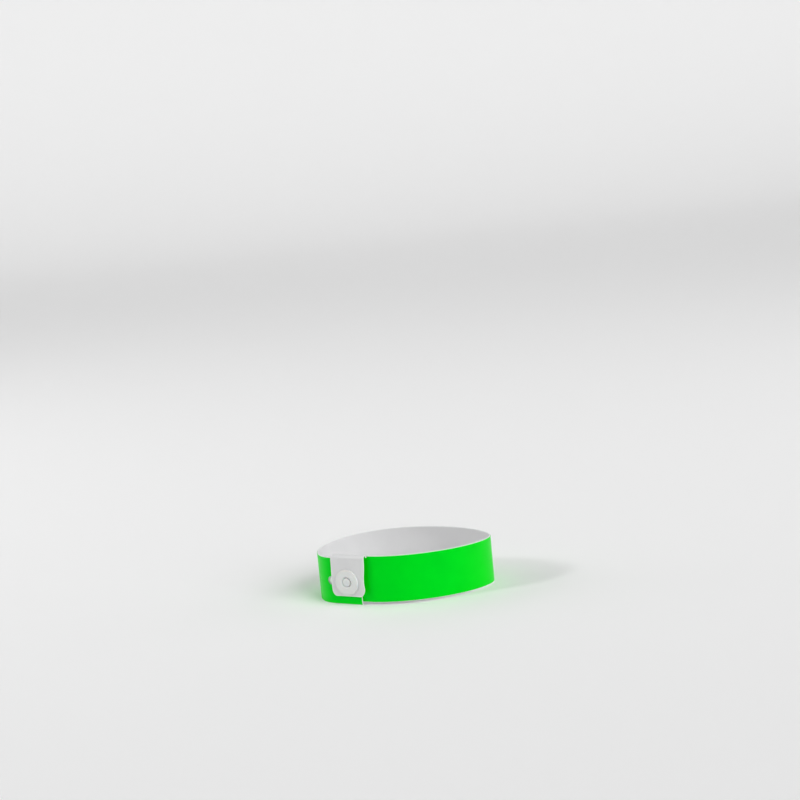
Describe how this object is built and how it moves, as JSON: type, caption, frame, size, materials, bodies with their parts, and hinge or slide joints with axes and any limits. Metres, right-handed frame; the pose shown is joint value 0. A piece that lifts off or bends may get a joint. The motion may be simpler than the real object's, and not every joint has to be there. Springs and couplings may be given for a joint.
{
  "type": "snap-closure event wristband",
  "caption": "Flat laminated vinyl wristband closed into an oval loop, its punched tail held under a folded flap by a plastic snap.",
  "frame": {"origin": "middle of the loop's outline, on the plane that its lower edge stands on", "axes": "+Z along the wearer's forearm, from the strap's lower edge to the folded edge; -Y to the front, where the closure faces turned towards -X; +X along the loop's long axis"},
  "size_m": [0.0596, 0.0458, 0.0172],
  "materials": {
    "face_film": "fluorescent green vinyl film, satin",
    "core_film": "milky core film, seen only at cut edges",
    "back_film": "plain white vinyl film, low sheen",
    "snap_plastic": "moulded off-white plastic, satin"
  },
  "bodies": {
    "strap": {"strap_face_film": "face_film", "strap_core_film": "core_film", "strap_back_film": "back_film", "snap_stud": "snap_plastic", "stud_washer": "snap_plastic"},
    "tail": {"tail_face_film": "face_film", "tail_core_film": "core_film", "tail_back_film": "back_film"},
    "flap": {"flap_face_film": "face_film", "flap_core_film": "core_film", "flap_back_film": "back_film", "snap_socket": "snap_plastic", "socket_washer": "snap_plastic"}
  },
  "joints": [
    {"name": "flap_fold", "type": "hinge", "parent": "strap", "child": "flap", "pos_m": [-0.02051, -0.01511, 0.01726], "axis": [-0.809, 0.5878, 0], "range_deg": [0, 175]},
    {"name": "tail_lift", "type": "slide", "parent": "strap", "child": "tail", "axis": [-0.5878, -0.809, 0], "range_m": [0, 0.0037]}
  ],
  "couplings": [
    {"joint": "flap_fold", "follows": "tail_lift", "rad_per_m": 825}
  ]
}
